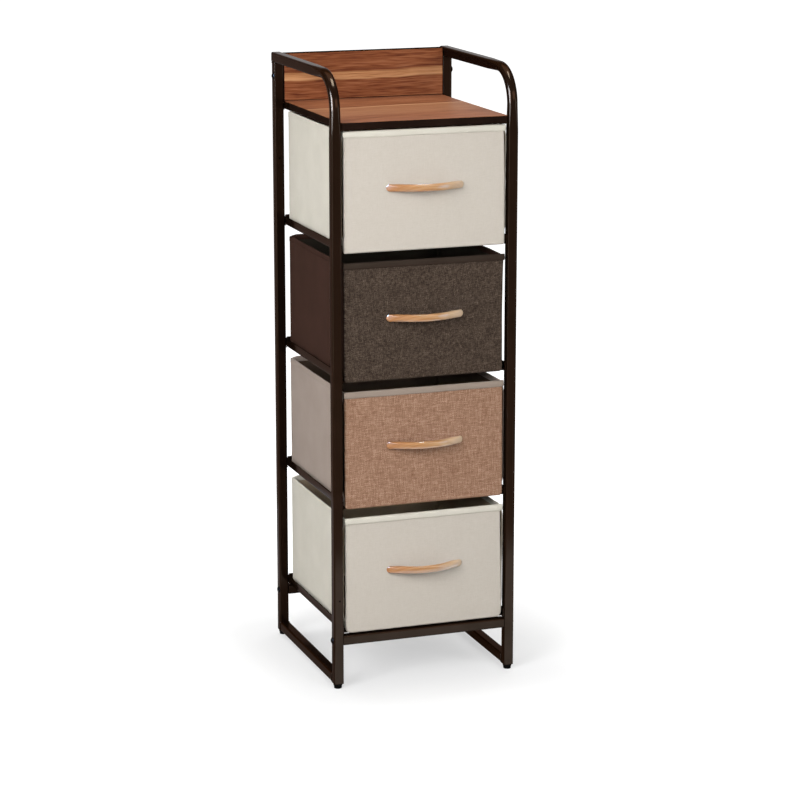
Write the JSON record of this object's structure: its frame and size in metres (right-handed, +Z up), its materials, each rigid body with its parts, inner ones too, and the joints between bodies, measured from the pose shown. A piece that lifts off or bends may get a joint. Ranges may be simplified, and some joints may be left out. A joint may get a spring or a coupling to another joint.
{
  "type": "drawer cabinet",
  "caption": "Slim tower of open-topped fabric drawers with wooden arch handles, in a bent square-tube frame with a wood-print top board and a low back panel.",
  "frame": {"origin": "on the floor, under the middle of the cabinet's box with its handles", "axes": "+X to the right as seen from the front, +Y to the rear, +Z up; drawers open along -Y"},
  "size_m": [0.3154, 0.333, 0.995],
  "materials": {
    "brown_coated_steel": "semi-gloss dark brown powder coat",
    "dark_steel": "black coated",
    "zinc_steel": "bright zinc",
    "black_plastic": "moulded, slightly glossy",
    "wood_print_board": "reddish brown printed planks, satin",
    "dark_edging": "thin dark edging",
    "cream_cloth": "plain non-woven cloth",
    "dark_brown_cloth": "plain non-woven cloth",
    "taupe_cloth": "plain non-woven cloth",
    "dark_weave": "mottled dark brown linen weave",
    "tan_weave": "mottled tan linen weave",
    "base_fibreboard": "cloth-covered fibreboard",
    "beech": "clear lacquer"
  },
  "bodies": {
    "frame": {"left_bent_tube": "brown_coated_steel", "right_bent_tube": "brown_coated_steel", "left_rear_post": "brown_coated_steel", "right_rear_post": "brown_coated_steel", "left_foot_rail": "brown_coated_steel", "right_foot_rail": "brown_coated_steel", "front_cross_rail": "brown_coated_steel", "rear_cross_rail": "brown_coated_steel", "left_runner_1": "brown_coated_steel", "left_runner_2": "brown_coated_steel", "left_runner_3": "brown_coated_steel", "left_runner_4": "brown_coated_steel", "right_runner_1": "brown_coated_steel", "right_runner_2": "brown_coated_steel", "right_runner_3": "brown_coated_steel", "right_runner_4": "brown_coated_steel", "stop_bar_1": "brown_coated_steel", "stop_bar_2": "brown_coated_steel", "stop_bar_3": "brown_coated_steel", "stop_bar_4": "brown_coated_steel", "left_board_brackets": "brown_coated_steel", "right_board_brackets": "brown_coated_steel", "top_board": "wood_print_board", "board_edge_band": "dark_edging", "back_panel": "wood_print_board", "panel_edge_band": "dark_edging", "front_left_glide": "black_plastic", "front_right_glide": "black_plastic", "rear_left_glide": "black_plastic", "rear_right_glide": "black_plastic", "rail_end_caps": "black_plastic", "cross_rail_bolts": "dark_steel", "panel_bolts": "dark_steel", "board_screws": "zinc_steel"},
    "drawer_1": {"drawer_1_front": "cream_cloth", "drawer_1_fabric_walls": "cream_cloth", "drawer_1_base_board": "base_fibreboard", "drawer_1_rim_binding": "cream_cloth", "drawer_1_handle": "beech", "drawer_1_handle_screws": "zinc_steel"},
    "drawer_2": {"drawer_2_front": "dark_weave", "drawer_2_fabric_walls": "dark_brown_cloth", "drawer_2_base_board": "base_fibreboard", "drawer_2_rim_binding": "dark_brown_cloth", "drawer_2_handle": "beech", "drawer_2_handle_screws": "zinc_steel"},
    "drawer_3": {"drawer_3_front": "tan_weave", "drawer_3_fabric_walls": "taupe_cloth", "drawer_3_base_board": "base_fibreboard", "drawer_3_rim_binding": "taupe_cloth", "drawer_3_handle": "beech", "drawer_3_handle_screws": "zinc_steel"},
    "drawer_4": {"drawer_4_front": "cream_cloth", "drawer_4_fabric_walls": "cream_cloth", "drawer_4_base_board": "base_fibreboard", "drawer_4_rim_binding": "cream_cloth", "drawer_4_handle": "beech", "drawer_4_handle_screws": "zinc_steel"}
  },
  "joints": [
    {"name": "drawer_1_slide", "type": "slide", "parent": "frame", "child": "drawer_1", "axis": [0, -1, 0], "range_m": [0, 0.25]},
    {"name": "drawer_2_slide", "type": "slide", "parent": "frame", "child": "drawer_2", "axis": [0, -1, 0], "range_m": [0, 0.25]},
    {"name": "drawer_3_slide", "type": "slide", "parent": "frame", "child": "drawer_3", "axis": [0, -1, 0], "range_m": [0, 0.25]},
    {"name": "drawer_4_slide", "type": "slide", "parent": "frame", "child": "drawer_4", "axis": [0, -1, 0], "range_m": [0, 0.25]}
  ]
}
